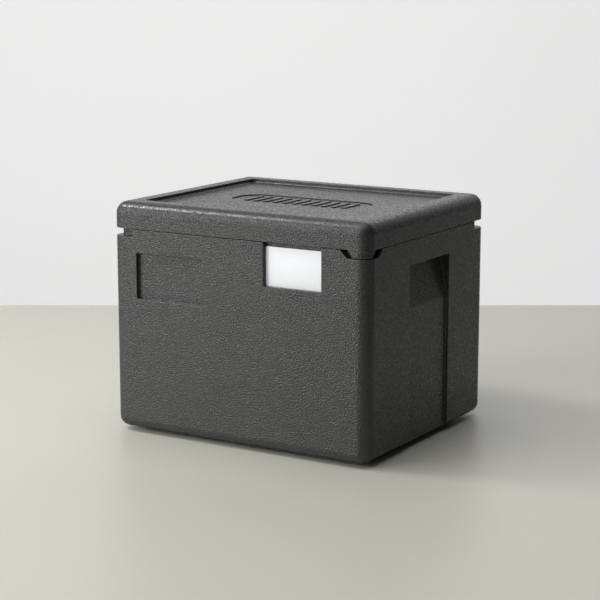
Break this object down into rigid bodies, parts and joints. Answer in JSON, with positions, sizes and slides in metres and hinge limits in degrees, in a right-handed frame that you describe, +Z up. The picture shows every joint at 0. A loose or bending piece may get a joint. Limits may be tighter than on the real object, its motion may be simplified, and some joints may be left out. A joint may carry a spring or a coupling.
{
  "type": "insulated food carrier",
  "caption": "Top-loading insulated food carrier of black moulded foam: a thick-walled box with hand recesses, a keyed lift-off lid with a stacking recess, and a blank label card.",
  "frame": {"origin": "centre of the base, on the surface the carrier stands on", "axes": "+X along the long front face, the front with the label card faces -Y, +Z up"},
  "size_m": [0.39, 0.33, 0.312],
  "materials": {
    "foam_body": "moulded bead foam, satin black",
    "foam_lid": "moulded bead foam, satin black",
    "card": "plain white, smooth matt"
  },
  "bodies": {
    "carrier": {"carrier_body": "foam_body", "label_card": "card"},
    "lid": {"lid": "foam_lid"}
  },
  "joints": [
    {"name": "lid_lift", "type": "slide", "parent": "carrier", "child": "lid", "axis": [0, 0, 1], "range_m": [0, 0.35]}
  ]
}
